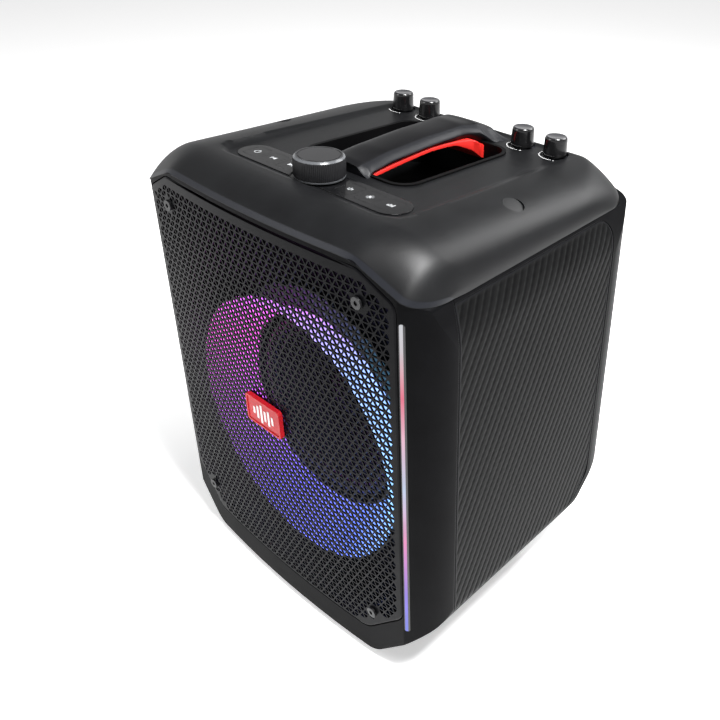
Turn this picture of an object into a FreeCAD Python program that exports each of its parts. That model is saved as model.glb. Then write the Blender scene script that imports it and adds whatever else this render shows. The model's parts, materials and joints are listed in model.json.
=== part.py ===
import FreeCAD, Part
import math
import os

# A tabletop party speaker with a carry handle. Millimetres, +Z up, front towards -Y.
# The origin is under the middle of the speaker, on the surface that it stands on.

V = FreeCAD.Vector

# Overall size and the main planes
HALF_WIDTH = 149.5
FRONT = -113.75          # plane through the grille screws
REAR = 126.25            # rear wall
UNDERSIDE = 6.0          # underside of the cabinet, held up by the feet
MIDDLE = 186.0           # height of the grille's middle
SEAM_Z = 324.0           # side seam between the cabinet and the top shell
BULGE = 8.0              # how far the front bows out at its middle
BULGE_EDGE = 129.0       # half width of the bowed part
CORNER_DEPTH = 34.0      # depth of the rounded vertical front corners
REAR_RADIUS = 38.0
BEZEL_DEPTH = 32.0       # front bezel, back to its seam with the cabinet
WALL = 5.5
SKIN = 3.0
PANEL_THICKNESS = 2.5    # side panels
GAP = 0.3                # moulding gap between neighbouring pieces
SIDE_EASE = 0.12         # the plan's corners end this far outside the flat sides
BULGE_RADIUS = (BULGE_EDGE ** 2 + BULGE ** 2) / (2 * BULGE)

# Right-hand corners of the front view outlines: x, z, corner radius, from the top down
BODY_OUTLINE = [(97, 347, 12), (143.5, 325, 4), (149.5, 300, 90), (149.5, 55, 20), (100.5, 6, 20)]
TOP_OUTLINE = [(108, 358, 80), (144, 338, 18), (144, 270, 0)]
GRILLE_OUTLINE = [(100, 343.5, 14), (128.5, 327.5, 9), (128.5, 63, 16), (94, 28.5, 16)]
TOP_SLOPE = 4.0          # the top falls towards the rear
TOP_FRONT_Z = 346.6      # lower edge of the top shell's front lip
LIP_CHAMFER = 3.2
RIM_BACK = 34.0          # the tray's front rim, behind the grille screws
RIM_Z = 358.0
TOP_DROP = 5.0           # extra thickness of the top shell over the tray

# Control tray. Its own frame has y' back along the floor and z' square to it.
TRAY_Z = 354.0
TRAY_SLOPE = 3.3
TRAY_HALF_WIDTH = 95.0
TRAY_LENGTH = 198.0
TRAY_SEAT = FreeCAD.Placement(V(0, FRONT + RIM_BACK, TRAY_Z), FreeCAD.Rotation(V(1, 0, 0), -TRAY_SLOPE))
PANEL_Y = 22.0           # middle of the control strip
PANEL_HALF = (84.0, 13.5)
PANEL_TOP = 0.6
PANEL_BASE = -2.3
KEY_HALF = (7.5, 8.5)
KEY_SPOTS = {"power": -69, "previous": -50, "next": -31, "function": 31, "light": 50, "mode": 69}
KEY_BASE = -1.5
KEY_STEM = 2.2
KNOB_RADIUS = 18.3
KNOB_BASE = 1.3
KNOB_TOP = 16.7
DISH_RADIUS = 21.0
DISH_DEPTH = 0.8
SMALL_KNOBS = {"treble": -80.2, "bass": -49.2, "echo": 49.2, "microphone": 80.2}
SMALL_Y = 185.5
SMALL_RADIUS = 9.1
SMALL_BASE = 0.5
SMALL_TOP = 15.4
SHAFT_RADIUS = 3.0
RUNNING = 0.06           # radial clearance of a turning shaft
BOARD_TOP = -16.0
BOARD_THICKNESS = 1.6

# Carry handle and the pocket under it, measured back from FRONT
POCKET_HALF = 52.0
POCKET = (85.0, 200.0)
POCKET_FLOOR = 310.0
POCKET_WALL = 3.0
POCKET_RADIUS = 14.0
HANDLE_HALF = 15.5
HANDLE_CHAMFER = 4.5
HANDLE_FRONT = 77.5
HANDLE_REAR = 227.0
LINER_HALF = 14.0
LINER_THICKNESS = 5.0

# Front: grille, lights and woofer
GRILLE_PROUD = 0.5
GRILLE_THICKNESS = 1.4
GRILLE_SKIRT = 6.0
SCREW_X = 100.5
SCREW_Z = 134.7          # above and below the middle
SCREW_HEAD = 4.2
BADGE = (39.0, 24.0, 3.6)
BAR_X = 131.4
BAR_WIDTH = 3.6
BAR_Z = (51.0, 316.0)
WOOFER_Z = 158.4
RING_RADIUS = 110.0
RING_FRONT = 11.0
THROAT_RADIUS = 84.5
THROAT = 45.0
BAFFLE = (49.6, 57.6)
SURROUND = (66.0, 81.3)
CONE_NECK = 19.0
COIL = (18.7, 19.6)
MAGNET = (97.0, 117.0)

# Rear
PANEL_Z = (52.0, 150.0)
REAR_PANEL_HALF = 86.0
PORT_Z = 238.0
PORT_RADIUS = 25.0
PORT_LENGTH = 92.0
JACK_Z = 120.0

MICROPHONE_X = (-62.0, -36.0)
AUX_X = -12.0
USB_X = 12.0
INLET_X = 62.0
SWITCH_X = 36.0
USB_HALF = (6.6, 2.9)
ROCKER_HALF = (6.2, 9.0)
ROCKER_TILT = 8.0        # degrees, in the off position
ROCKER_PIN = 1.5

# Round plugs in the shoulders
PLUG_X = 118.0
PLUG_Y = FRONT + 118.0
PLUG_Z = 346.0
PLUG_RADIUS = 7.5
PLUG_LEAN = math.radians(26)

# Loose blocks used for cutting reach this far past the speaker
REACH = 160.0

# A point of the facet that cuts each lower rear corner, y measured back from FRONT
FACET_X = 149.5
FACET_Y = 184.0
FACET_Z = 55.0


def rounded_face(corners, place):
    """A face through corners (a, b, radius). place turns a and b into a point in space."""
    points = [V(a, b, 0) for a, b, radius in corners]
    arcs = []
    for index, (a, b, radius) in enumerate(corners):
        here = points[index]
        back = (points[index - 1] - here).normalize()
        ahead = (points[(index + 1) % len(points)] - here).normalize()
        half_angle = back.getAngle(ahead) / 2
        reach = radius / math.tan(half_angle)
        inward = (back + ahead).normalize()
        crown = here + inward * (radius / math.sin(half_angle) - radius)
        arcs.append((here + back * reach, crown, here + ahead * reach, radius))
    edges = []
    for index, (start, crown, end, radius) in enumerate(arcs):
        if radius > 0:
            edges.append(Part.Arc(place(start), place(crown), place(end)).toShape())
        after = arcs[(index + 1) % len(arcs)][0]
        if end.distanceToPoint(after) > 1e-6:
            edges.append(Part.LineSegment(place(end), place(after)).toShape())
    return Part.Face(Part.Wire(edges))


def both_sides(half):
    """Completes a right-hand outline with its mirror image."""
    return half + [(-a, b, radius) for a, b, radius in reversed(half)]


def whole_front_prism(corners, y_from, y_to):
    face = rounded_face(corners, lambda p: V(p.x, y_from, p.y))
    return face.extrude(V(0, y_to - y_from, 0))


def front_prism(half, y_from, y_to):
    return whole_front_prism(both_sides(half), y_from, y_to)


def side_prism(corners, x_from, x_to):
    face = rounded_face(corners, lambda p: V(x_from, p.x, p.y))
    return face.extrude(V(x_to - x_from, 0, 0))


def flat_prism(corners, z_from, z_to):
    face = rounded_face(corners, lambda p: V(p.x, p.y, z_from))
    return face.extrude(V(0, 0, z_to - z_from))


def rectangle(half_x, y_from, y_to, radius, centre_x=0.0):
    left = centre_x - half_x
    right = centre_x + half_x
    return [(left, y_from, radius), (right, y_from, radius), (right, y_to, radius), (left, y_to, radius)]


def box(x_from, x_to, y_from, y_to, z_from, z_to):
    corner = V(x_from, y_from, z_from)
    return Part.makeBox(x_to - x_from, y_to - y_from, z_to - z_from, corner)


def inset(half, amount):
    """The same outline, moved inwards all round."""
    face = rounded_face(both_sides(half), lambda p: p)
    return face.OuterWire.makeOffset2D(-amount, 2)


def inset_prism(half, amount, y_from, y_to):
    flat = Part.Face(inset(half, amount))
    flat.rotate(V(0, 0, 0), V(1, 0, 0), 90)
    flat.translate(V(0, y_from, 0))
    return flat.extrude(V(0, y_to - y_from, 0))


def plan_prism(side, front, z_from, z_to):
    """The speaker seen from above, side and front being how far its walls are moved inwards."""
    half = HALF_WIDTH - side + SIDE_EASE
    nose = FRONT + front
    back = REAR - side
    radius = REAR_RADIUS - side
    depth = CORNER_DEPTH - side
    width = half - BULGE_EDGE
    corner = (width ** 2 + depth ** 2) / (2 * width)
    centre = V(half - corner, nose + depth, z_from)
    sweep = (math.pi + math.atan2(centre.y - nose, BULGE_EDGE - centre.x)) / 2 - math.pi / 2
    front_mid = centre + V(corner * math.cos(sweep), -corner * math.sin(sweep), 0)
    rear_mid = V(half - radius * (1 - math.sqrt(0.5)), back - radius * (1 - math.sqrt(0.5)), z_from)
    edges = []
    for side_sign in (1, -1):
        def at(x, y):
            return V(side_sign * x, y, z_from)

        edges.append(Part.Arc(at(BULGE_EDGE, nose), at(front_mid.x, front_mid.y), at(half, nose + depth)))
        edges.append(Part.LineSegment(at(half, nose + depth), at(half, back - radius)))
        edges.append(Part.Arc(at(half, back - radius), at(rear_mid.x, rear_mid.y), at(half - radius, back)))
    edges.append(Part.LineSegment(V(half - radius, back, z_from), V(radius - half, back, z_from)))
    foremost = V(0, nose - BULGE, z_from)
    edges.append(Part.Arc(V(-BULGE_EDGE, nose, z_from), foremost, V(BULGE_EDGE, nose, z_from)))
    wire = Part.Wire(Part.__sortEdges__([edge.toShape() for edge in edges]))
    return Part.Face(wire).extrude(V(0, 0, z_to - z_from))


def bowed_layer(front, thickness, half):
    """A layer that follows the bowed front, within a front view outline."""
    axis = V(0, FRONT - BULGE + BULGE_RADIUS, 0)
    outer = Part.makeCylinder(BULGE_RADIUS - front, 400, axis)
    inner = Part.makeCylinder(BULGE_RADIUS - front - thickness, 400, axis)
    slab = front_prism(half, FRONT - BEZEL_DEPTH, FRONT + BEZEL_DEPTH)
    return slab.common(outer).cut(inner)


def rear_facet(sign, amount):
    """Everything beyond the facet that cuts a lower rear corner, moved inwards by amount."""
    inward = V(-sign, -1, 1).normalize()
    on_facet = V(sign * FACET_X, FRONT + FACET_Y, FACET_Z) + inward * amount
    block = Part.makeBox(400, 400, 200, V(-200, -200, -200))
    block.Placement = FreeCAD.Placement(on_facet, FreeCAD.Rotation(V(0, 0, 1), inward))
    return block


def lower_body(amount):
    """The cabinet's outside, moved inwards by amount."""
    if amount:
        prism = inset_prism(BODY_OUTLINE, amount, FRONT - 20, REAR + 5)
    else:
        prism = front_prism(BODY_OUTLINE, FRONT - 20, REAR + 5)
    body = prism.common(plan_prism(amount, amount, 0, 360))
    for sign in (-1, 1):
        body = body.cut(rear_facet(sign, amount))
    return body


def top_body(amount, drop):
    """The top shell's outside, with its walls moved inwards by amount and its top down by drop."""
    nose = FRONT - BULGE + amount
    rim = FRONT + RIM_BACK - BULGE / 2 + amount
    fall = math.tan(math.radians(TOP_SLOPE))
    tail = REAR + 40
    profile = [
        V(0, nose, 250), V(0, nose, TOP_FRONT_Z - drop),
        V(0, nose + LIP_CHAMFER, TOP_FRONT_Z + LIP_CHAMFER - drop),
    ]
    crown = V(0, (nose + rim) / 2, (TOP_FRONT_Z + LIP_CHAMFER + RIM_Z) / 2 + 1.3 - drop)
    rim_point = V(0, rim, RIM_Z - drop)
    tail_point = V(0, tail, RIM_Z - drop - fall * (tail - rim))
    edges = [
        Part.LineSegment(profile[0], profile[1]).toShape(),
        Part.LineSegment(profile[1], profile[2]).toShape(),
        Part.Arc(profile[2], crown, rim_point).toShape(),
        Part.LineSegment(rim_point, tail_point).toShape(),
        Part.LineSegment(tail_point, V(0, tail, 250)).toShape(),
        Part.LineSegment(V(0, tail, 250), profile[0]).toShape(),
    ]
    face = Part.Face(Part.Wire(edges))
    axis = V(0, FRONT - BULGE + BULGE_RADIUS, 0)
    face.rotate(axis, V(0, 0, 1), -10)
    bowed = face.revolve(axis, V(0, 0, 1), 20)
    half = [(x - amount, z + 3 - drop, radius) for x, z, radius in TOP_OUTLINE]
    prism = front_prism(half, FRONT - 40, REAR + 60)
    prism.rotate(V(0, FRONT + RIM_BACK, RIM_Z), V(1, 0, 0), -TOP_SLOPE)
    return plan_prism(WALL + amount, amount, 230, 390).common(prism).common(bowed)


def on_tray(shape):
    shape.Placement = TRAY_SEAT.multiply(shape.Placement)
    return shape


def tray_cylinder(x, y, radius, z_from, z_to):
    return on_tray(Part.makeCylinder(radius, z_to - z_from, V(x, y, z_from)))


def tray_box(x, y, half_x, half_y, z_from, z_to, radius):
    return on_tray(flat_prism(rectangle(half_x, y - half_y, y + half_y, radius, x), z_from, z_to))


def panel_outline(grow):
    half_x, half_y = PANEL_HALF
    return rectangle(half_x + grow, PANEL_Y - half_y - grow, PANEL_Y + half_y + grow, half_y + grow - 0.01)


def pocket_outline(grow):
    front = FRONT + POCKET[0] - grow
    rear = FRONT + POCKET[1] + grow
    return rectangle(POCKET_HALF + grow, front, rear, POCKET_RADIUS + grow)


def make_top_shell():
    shell = top_body(0, 0)
    hollow = top_body(SKIN, SKIN + TOP_DROP)
    shell = shell.cut(hollow)
    shell = shell.cut(inset_prism(BODY_OUTLINE, -GAP, FRONT - 20, FRONT + BEZEL_DEPTH + GAP))
    shell = shell.cut(box(-REACH, REACH, FRONT - 30, REAR + 30, 200, SEAM_Z + GAP))
    tray = flat_prism(rectangle(TRAY_HALF_WIDTH, 0, TRAY_LENGTH, 20), 0, 40)
    shell = shell.cut(on_tray(tray))
    shell = shell.cut(on_tray(flat_prism(panel_outline(GAP / 2), PANEL_BASE - 0.1, 10)))
    for x in KEY_SPOTS.values():
        shell = shell.cut(tray_box(x, PANEL_Y, KEY_STEM + 0.5, KEY_STEM + 0.5, -12, 5, 0))
    shell = shell.cut(tray_cylinder(0, PANEL_Y, SHAFT_RADIUS + 1, -12, 5))
    for x in SMALL_KNOBS.values():
        shell = shell.cut(tray_cylinder(x, SMALL_Y, SHAFT_RADIUS + 1, -14, 5))
        shell = shell.cut(tray_cylinder(x, SMALL_Y, SMALL_RADIUS + 1.4, -0.9, 5))
    shell = shell.cut(flat_prism(pocket_outline(POCKET_WALL + GAP), 300, 380))
    for sign in (-1, 1):
        shell = shell.cut(plug_solid(sign, GAP / 2))
    return shell


def plug_solid(sign, grow):
    """A round plug square to the shoulder."""
    lean = V(sign * math.sin(PLUG_LEAN), 0, math.cos(PLUG_LEAN))
    base = V(sign * PLUG_X, PLUG_Y, PLUG_Z) - lean * 3.0
    return Part.makeCylinder(PLUG_RADIUS + grow, 30, base, lean)


def make_shoulder_plugs():
    outside = top_body(0, 0)
    return Part.makeCompound([plug_solid(sign, 0).common(outside) for sign in (-1, 1)])


def make_hand_pocket():
    outer = flat_prism(pocket_outline(POCKET_WALL), POCKET_FLOOR - POCKET_WALL, 380)
    inner = flat_prism(pocket_outline(0), POCKET_FLOOR, 390)
    above = on_tray(box(-120, 120, -60, 300, 1.2, 80))
    return outer.cut(inner).cut(above)


def handle_face(x, drop):
    """The carry handle's side view at x, with its top line lowered by drop."""
    corners = [
        (HANDLE_FRONT, 349.5, 0), (HANDLE_FRONT, 357.8 - drop, 4), (145, 363.2 - drop, 400),
        (203, 358.2 - drop, 24), (HANDLE_REAR, 344.5 - drop / 4, 3), (HANDLE_REAR, 341.0, 0),
        (203.5, 341.0, 0),
        (203.5, 346.5, 0), (190, 350.0, 30), (145, 353.6, 300), (84.5, 350.2, 0), (84.5, 349.5, 0),
    ]
    moved = [(FRONT + y, z, radius) for y, z, radius in corners]
    return rounded_face(moved, lambda p: V(x, p.x, p.y))


def make_handle_bar():
    core = HANDLE_HALF - HANDLE_CHAMFER
    bar = handle_face(-core, 0).extrude(V(2 * core, 0, 0))
    for sign in (-1, 1):
        near = handle_face(sign * core, 0).OuterWire
        far = handle_face(sign * HANDLE_HALF, HANDLE_CHAMFER).OuterWire
        bar = bar.fuse(Part.makeLoft([near, far], True, True))
    bar = bar.cut(on_tray(box(-60, 60, -60, 300, -60, 0.05)))
    above = on_tray(box(-90, 90, -60, 300, 1.4, 80))
    rim = flat_prism(pocket_outline(POCKET_WALL + 0.2), 300, 380).cut(above)
    return bar.cut(rim.cut(flat_prism(pocket_outline(-0.2), 290, 390)))


def make_handle_liner():
    corners = [
        (86.5, 316, 0), (86.5, 348.8, 9), (145, 352.9, 300), (188.5, 349.6, 20), (198.5, 340, 8),
        (198.5, 316, 0),
        (198.5 - LINER_THICKNESS, 316, 0), (198.5 - LINER_THICKNESS, 337, 6), (186, 344.4, 16),
        (145, 347.6, 300), (91.5, 344, 5), (91.5, 316, 0),
    ]
    moved = [(FRONT + y, z, radius) for y, z, radius in corners]
    return side_prism(moved, -LINER_HALF, LINER_HALF)


def make_front_bezel():
    shell = lower_body(0).cut(lower_body(SKIN))
    shell = shell.common(box(-REACH, REACH, FRONT - 30, FRONT + BEZEL_DEPTH, 0, 360))
    opening = inset_prism(GRILLE_OUTLINE, -0.5, FRONT - 30, FRONT + BEZEL_DEPTH / 2)
    shell = shell.cut(opening)
    for sign in (-1, 1):
        shell = shell.cut(bar_solid(sign, GAP / 2, 20))
    return shell


def bar_solid(sign, grow, depth):
    """A light bar beside the grille, with its rounded ends."""
    x = sign * BAR_X
    half = BAR_WIDTH / 2 + grow
    corners = rectangle(half, BAR_Z[0] - grow, BAR_Z[1] + grow, half - 0.01, x)
    return whole_front_prism(corners, FRONT - 30, FRONT - 10 + depth)


def make_led_bar(sign):
    return bar_solid(sign, 0, 15).common(lower_body(0))


def side_panel_outline(grow):
    front = FRONT + BEZEL_DEPTH + GAP
    rear = FRONT + 201.0
    low = 53.0
    high = SEAM_Z - 3.0
    return [
        (front - grow, low - grow, 3), (rear - 29 + grow / 2, low - grow, 14 + grow),
        (rear + grow, low + 29 - grow / 2, 14 + grow),
        (rear + grow, high + grow, 18 + grow), (front - grow, high + grow, 3),
    ]


def make_side_panel(sign):
    skin = lower_body(0).cut(lower_body(PANEL_THICKNESS))
    limits = sorted((sign * 120, sign * 160))
    return skin.common(side_prism(side_panel_outline(0), limits[0], limits[1]))


def make_rear_cabinet():
    shell = lower_body(0).cut(lower_body(WALL))
    shell = shell.common(box(-REACH, REACH, FRONT + BEZEL_DEPTH + GAP, REAR + 5, 0, SEAM_Z))
    core = lower_body(PANEL_THICKNESS + GAP)
    for sign in (-1, 1):
        limits = sorted((sign * 120, sign * 160))
        shell = shell.cut(side_prism(side_panel_outline(GAP), limits[0], limits[1]).cut(core))
    window = [
        (-REAR_PANEL_HALF - GAP, PANEL_Z[0] - GAP, 8), (REAR_PANEL_HALF + GAP, PANEL_Z[0] - GAP, 8),
        (REAR_PANEL_HALF + GAP, PANEL_Z[1] + GAP, 8), (-REAR_PANEL_HALF - GAP, PANEL_Z[1] + GAP, 8),
    ]
    shell = shell.cut(whole_front_prism(window, REAR - 20, REAR + 10))
    port = Part.makeCylinder(PORT_RADIUS + 9 + GAP, 40, V(0, REAR - 20, PORT_Z), V(0, 1, 0))
    return shell.cut(port)


def rear_cylinder(x, z, radius, y_from, y_to):
    return Part.makeCylinder(radius, y_to - y_from, V(x, y_from, z), V(0, 1, 0))


def front_cylinder(x, z, radius, y_from, y_to):
    return Part.makeCylinder(radius, y_to - y_from, V(x, FRONT + y_from, z), V(0, 1, 0))


def make_rear_panel():
    corners = [
        (-REAR_PANEL_HALF, PANEL_Z[0], 8), (REAR_PANEL_HALF, PANEL_Z[0], 8),
        (REAR_PANEL_HALF, PANEL_Z[1], 8), (-REAR_PANEL_HALF, PANEL_Z[1], 8),
    ]
    plate = whole_front_prism(corners, REAR - 4, REAR - 1)
    for x in MICROPHONE_X:
        plate = plate.cut(rear_cylinder(x, JACK_Z, 6.2, REAR - 10, REAR + 5))
    plate = plate.cut(rear_cylinder(AUX_X, JACK_Z, 4.2, REAR - 10, REAR + 5))
    plate = plate.cut(box(USB_X - USB_HALF[0] - GAP, USB_X + USB_HALF[0] + GAP, REAR - 10, REAR + 5,
                          JACK_Z - USB_HALF[1] - GAP, JACK_Z + USB_HALF[1] + GAP))
    plate = plate.cut(rear_cylinder(INLET_X, JACK_Z, 6.2, REAR - 10, REAR + 5))
    return plate.cut(box(SWITCH_X - 7.8, SWITCH_X + 7.8, REAR - 10, REAR + 5, JACK_Z - 11.3, JACK_Z + 11.3))


def jack(x, outer, bore, length):
    """A panel jack: a threaded collar in the panel, a body behind it and a blind bore."""
    collar = rear_cylinder(x, JACK_Z, outer, REAR - 12, REAR + 0.0)
    body = box(x - outer - 1.5, x + outer + 1.5, REAR - 12 - length, REAR - 4.3, JACK_Z - outer - 1.5,
               JACK_Z + outer + 1.5)
    return collar.fuse(body).cut(rear_cylinder(x, JACK_Z, bore, REAR - length, REAR + 5))


def make_usb_socket():
    half_x, half_z = USB_HALF
    shell = box(USB_X - half_x, USB_X + half_x, REAR - 18, REAR - 0.5, JACK_Z - half_z, JACK_Z + half_z)
    hollow = box(USB_X - half_x + 0.4, USB_X + half_x - 0.4, REAR - 17, REAR + 5, JACK_Z - half_z + 0.4,
                 JACK_Z + half_z - 0.4)
    tongue = box(USB_X - half_x + 0.9, USB_X + half_x - 0.9, REAR - 17.5, REAR - 2, JACK_Z + 0.4,
                 JACK_Z + half_z - 0.3)
    return shell.cut(hollow).fuse(tongue)


def make_power_inlet():
    body = jack(INLET_X, 6.0, 2.8, 12)
    pin = rear_cylinder(INLET_X, JACK_Z, 1.0, REAR - 12.5, REAR - 1.5)
    return body.fuse(pin)


def make_switch_frame():
    outer = box(SWITCH_X - 7.5, SWITCH_X + 7.5, REAR - 18, REAR, JACK_Z - 11, JACK_Z + 11)
    half_x, half_z = ROCKER_HALF
    well = box(SWITCH_X - half_x - 0.4, SWITCH_X + half_x + 0.4, REAR - 12, REAR + 5, JACK_Z - half_z - 1.2,
               JACK_Z + half_z + 1.2)
    pivot = Part.makeCylinder(ROCKER_PIN + RUNNING, 17, V(SWITCH_X - 8.5, REAR - 4, JACK_Z), V(1, 0, 0))
    return outer.cut(well).cut(pivot)


def make_rocker():
    """The rocker, resting in its off position."""
    half_x, half_z = ROCKER_HALF
    corners = [
        (REAR - 6.5, JACK_Z - 4, 0), (REAR - 3.4, JACK_Z - half_z, 0), (REAR - 1.5, JACK_Z - half_z, 1),
        (REAR - 2.7, JACK_Z, 12), (REAR - 1.5, JACK_Z + half_z, 1), (REAR - 3.4, JACK_Z + half_z, 0),
        (REAR - 6.5, JACK_Z + 4, 0),
    ]
    wedge = side_prism(corners, SWITCH_X - half_x, SWITCH_X + half_x)
    pin_end = V(SWITCH_X - half_x - 1, REAR - 4, JACK_Z)
    pin = Part.makeCylinder(ROCKER_PIN, 2 * half_x + 2, pin_end, V(1, 0, 0))
    rocker = wedge.fuse(pin)
    rocker.rotate(V(SWITCH_X, REAR - 4, JACK_Z), V(1, 0, 0), ROCKER_TILT)
    return rocker


def make_bass_port():
    back = REAR - 1.0
    tube = rear_cylinder(0, PORT_Z, PORT_RADIUS + 3, back - PORT_LENGTH, back)
    flange = rear_cylinder(0, PORT_Z, PORT_RADIUS + 9, back - 3.5, back)
    bore = rear_cylinder(0, PORT_Z, PORT_RADIUS, back - PORT_LENGTH - 5, back + 5)
    flare = Part.makeCone(PORT_RADIUS, PORT_RADIUS + 5, 8, V(0, back - 7.5, PORT_Z), V(0, 1, 0))
    return tube.fuse(flange).cut(bore).cut(flare)


def make_rubber_feet():
    spots = [(x, y) for x in (-78, 78) for y in (FRONT + 34, REAR - 54)]
    return Part.makeCompound([Part.makeCone(11, 12.5, UNDERSIDE, V(x, y, 0)) for x, y in spots])


def make_control_panel():
    strip = on_tray(flat_prism(panel_outline(0), PANEL_BASE, PANEL_TOP))
    for x in KEY_SPOTS.values():
        strip = strip.cut(tray_box(x, PANEL_Y, KEY_HALF[0] + 0.25, KEY_HALF[1] + 0.25, -5, 5, 3.25))
    strip = strip.cut(tray_cylinder(0, PANEL_Y, DISH_RADIUS, PANEL_TOP - DISH_DEPTH, 5))
    return strip.cut(tray_cylinder(0, PANEL_Y, SHAFT_RADIUS + 1, -5, 5))


def make_key(x):
    cap = tray_box(x, PANEL_Y, KEY_HALF[0], KEY_HALF[1], KEY_BASE, PANEL_TOP, 3)
    stem = tray_box(x, PANEL_Y, KEY_STEM, KEY_STEM, -9.0, KEY_BASE + 0.2, 0)
    return cap.fuse(stem)


def knob(x, y, radius, base, top, chamfer, taper):
    """A turned knob with a blind hole for its shaft."""
    body = Part.makeCone(radius, radius - taper, top - base - chamfer, V(x, y, base))
    crown = Part.makeCone(radius - taper, radius - taper - chamfer, chamfer, V(x, y, top - chamfer))
    hole = Part.makeCylinder(SHAFT_RADIUS + 0.15, top - 4 - base, V(x, y, base))
    hollow = Part.makeCylinder(radius - taper - 2.5, 3, V(x, y, base))
    core = Part.makeCylinder(SHAFT_RADIUS + 2, 3, V(x, y, base))
    return on_tray(body.fuse(crown).cut(hollow.cut(core)).cut(hole))


def make_main_knob():
    body = knob(0, PANEL_Y, KNOB_RADIUS, KNOB_BASE, KNOB_TOP, 1.2, 0.3)
    groove = tray_cylinder(0, PANEL_Y, KNOB_RADIUS - 3.2, KNOB_TOP - 0.4, KNOB_TOP + 1)
    core = tray_cylinder(0, PANEL_Y, KNOB_RADIUS - 3.9, KNOB_TOP - 1, KNOB_TOP + 2)
    return body.cut(groove.cut(core))


def make_small_knob(x):
    body = knob(x, SMALL_Y, SMALL_RADIUS, SMALL_BASE, SMALL_TOP, 0.6, 0.7)
    dish = Part.makeSphere(40, V(x, SMALL_Y, SMALL_TOP + 39.3))
    return body.cut(on_tray(dish))


def make_shaft(x, y, low, high):
    return tray_cylinder(x, y, SHAFT_RADIUS, low, high)


def make_turning_base(x, y, half, low, high):
    """The fixed body of a potentiometer or encoder, with a bore for its shaft."""
    body = tray_box(x, y, half, half, low, high, 1)
    return body.cut(tray_cylinder(x, y, SHAFT_RADIUS + RUNNING, low + 1.2, high + 5))


def make_control_boards():
    """The key board with its six switches, and the board that carries the small potentiometers."""
    board = tray_box(0, PANEL_Y, 86, 15, BOARD_TOP - BOARD_THICKNESS, BOARD_TOP, 3)
    for x in KEY_SPOTS.values():
        board = board.fuse(tray_box(x, PANEL_Y, 3, 3, BOARD_TOP, -10.2, 0))
    knob_board = tray_box(0, SMALL_Y, 92, 9.5, BOARD_TOP - BOARD_THICKNESS, BOARD_TOP, 3)
    return Part.makeCompound([board, knob_board])


def make_grille():
    plate = bowed_layer(-GRILLE_PROUD, GRILLE_THICKNESS, GRILLE_OUTLINE)
    edge = bowed_layer(-GRILLE_PROUD, GRILLE_SKIRT, GRILLE_OUTLINE)
    plate = plate.fuse(edge.cut(inset_prism(GRILLE_OUTLINE, GRILLE_THICKNESS, FRONT - 40, FRONT + 40)))
    for x, z in screw_spots():
        plate = plate.cut(front_cylinder(x, z, 2.4, -20, 20))
    return plate


def screw_spots():
    return [(sign * SCREW_X, MIDDLE + level * SCREW_Z) for sign in (-1, 1) for level in (-1, 1)]


def bow_depth(x):
    """How far behind the front's foremost line the bowed surface lies at x."""
    return BULGE_RADIUS - math.sqrt(BULGE_RADIUS ** 2 - x ** 2)


def make_grille_screws():
    screws = []
    for x, z in screw_spots():
        face = bow_depth(x) - BULGE - GRILLE_PROUD
        head = front_cylinder(x, z, SCREW_HEAD, face - 2.1, face - 0.5)
        shank = front_cylinder(x, z, 1.9, face - 0.5, face + 14)
        socket = front_cylinder(x, z, 1.6, face - 3, face - 1.1)
        screws.append(head.fuse(shank).cut(socket))
    return Part.makeCompound(screws)


def make_badge():
    width, height, thickness = BADGE
    front = FRONT - BULGE - GRILLE_PROUD - 0.4 - thickness
    corners = [
        (-width / 2, MIDDLE - height / 2, 2.5), (width / 2, MIDDLE - height / 2, 2.5),
        (width / 2, MIDDLE + height / 2, 2.5), (-width / 2, MIDDLE + height / 2, 2.5),
    ]
    plate = whole_front_prism(corners, front, front + thickness)
    rim = whole_front_prism([(x * 0.92, MIDDLE + (z - MIDDLE) * 0.87, 1.8) for x, z, radius in corners],
                           front - 1, front + 0.6)
    return plate.cut(rim)


def revolved_about_woofer(points):
    """A turned solid from (radius, depth) points, depth measured back from FRONT."""
    places = [V(radius, FRONT + depth, 0) for radius, depth in points]
    face = Part.Face(Part.makePolygon(places + places[:1]))
    solid = face.revolve(V(0, 0, 0), V(0, 1, 0), 360)
    solid.translate(V(0, 0, WOOFER_Z))
    return solid


def make_ring_diffuser():
    return revolved_about_woofer([
        (RING_RADIUS, RING_FRONT), (RING_RADIUS, RING_FRONT + 3), (THROAT_RADIUS + 2.5, THROAT),
        (THROAT_RADIUS, THROAT), (RING_RADIUS - 4, RING_FRONT),
    ])


def make_ring_board():
    return revolved_about_woofer([(93, 42.5), (108, 42.5), (108, 44.1), (93, 44.1)])


def make_baffle():
    half = [(92, 328, 10), (138, 312, 4), (138, 62, 16), (96, 15, 16)]
    plate = front_prism(half, FRONT + BAFFLE[0], FRONT + BAFFLE[1])
    plate = plate.cut(front_cylinder(0, WOOFER_Z, 85.0, 40, 70))
    return plate


def make_basket():
    flange = revolved_about_woofer([(82, 45.3), (93, 45.3), (93, 49.3), (82, 49.3)])
    frame = revolved_about_woofer([
        (82, 45.3), (84.4, 45.3), (84.4, 60), (52, 96.7), (30, 96.7), (30, 93.5), (49, 93.5), (82, 58),
    ])
    basket = flange.fuse(frame)
    for turn in range(6):
        window = box(-15, 15, FRONT + 62, FRONT + 90, 54, 100)
        window.rotate(V(0, 0, 0), V(0, 1, 0), turn * 60 + 30)
        window.translate(V(0, 0, WOOFER_Z))
        basket = basket.cut(window)
    return basket


def make_magnet():
    low, high = MAGNET
    ring = revolved_about_woofer([(21.5, low), (50, low), (50, high - 6), (21.5, high - 6)])
    back = revolved_about_woofer([(0, high - 6), (48, high - 6), (48, high), (0, high)])
    pole = revolved_about_woofer([(0, low), (17.4, low), (17.4, high - 5), (0, high - 5)])
    return ring.fuse(back).fuse(pole)


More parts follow.
